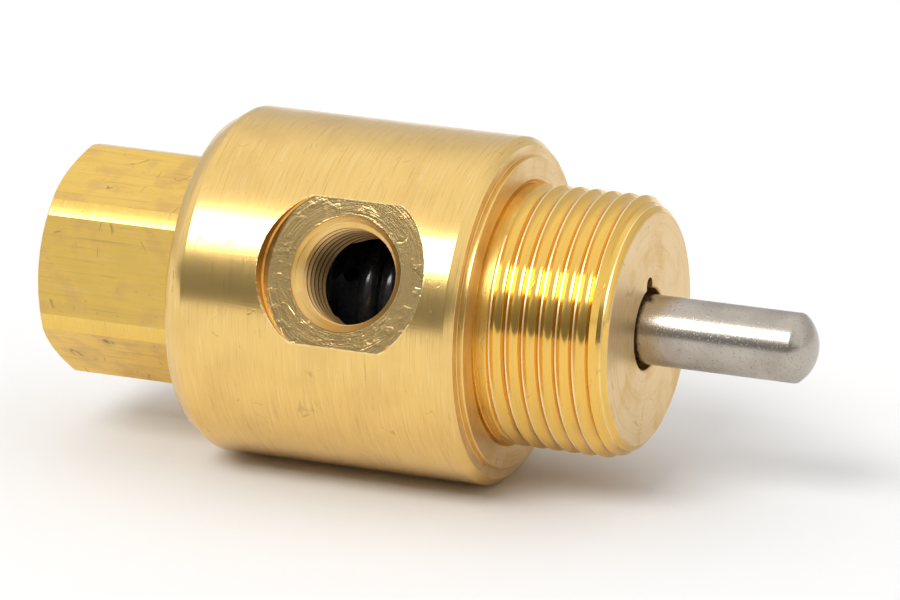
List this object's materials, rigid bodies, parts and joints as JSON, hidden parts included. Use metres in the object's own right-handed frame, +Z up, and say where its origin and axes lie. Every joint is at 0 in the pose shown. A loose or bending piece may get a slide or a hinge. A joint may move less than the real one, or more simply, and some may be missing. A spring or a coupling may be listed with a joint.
{
  "type": "stem-operated air valve",
  "caption": "Brass three-way air valve with a spring-returned steel push pin, a threaded mounting neck, a side port and a hex inlet connector.",
  "frame": {"origin": "under the middle of the overall length, on the surface that the body's outside lies on", "axes": "+X along the valve axis towards the pin's tip, +Z up, and the side port looks to -Y and 25 degrees up"},
  "size_m": [0.072, 0.0318, 0.0318],
  "materials": {
    "turned_brass": "fine turned satin, with a cut thread",
    "drawn_brass": "drawn hex bar, lightly stained",
    "bronze": "machined bronze",
    "ground_steel": "ground stainless steel",
    "spring_steel": "drawn stainless steel",
    "black_rubber": "glossy moulded nitrile, greased",
    "black_plastic": "moulded black acetal",
    "black_anodised": "hard anodised, black"
  },
  "bodies": {
    "valve_body": {"body": "turned_brass", "connector": "drawn_brass", "pin_guide": "bronze", "stroke_bumper": "black_rubber", "exhaust_seal": "black_rubber", "front_cage": "black_plastic", "rear_cage": "black_plastic", "inlet_seal": "black_rubber", "seal_washer": "ground_steel", "disc_spring": "spring_steel", "connector_seal": "black_rubber", "spring_seat": "spring_steel", "return_spring": "spring_steel", "screen_frame": "drawn_brass", "inlet_screen": "spring_steel", "screen_snap_ring": "spring_steel"},
    "plunger": {"plunger_pin": "ground_steel", "pin_clip": "spring_steel", "spool": "black_anodised", "spring_cup": "spring_steel"}
  },
  "joints": [
    {"name": "pin_stroke", "type": "slide", "parent": "valve_body", "child": "plunger", "axis": [-1, 0, 0], "range_m": [0, 0.004], "stiffness_N_per_m": 1200, "springref_m": -0.006, "deforming": ["return_spring"]}
  ]
}
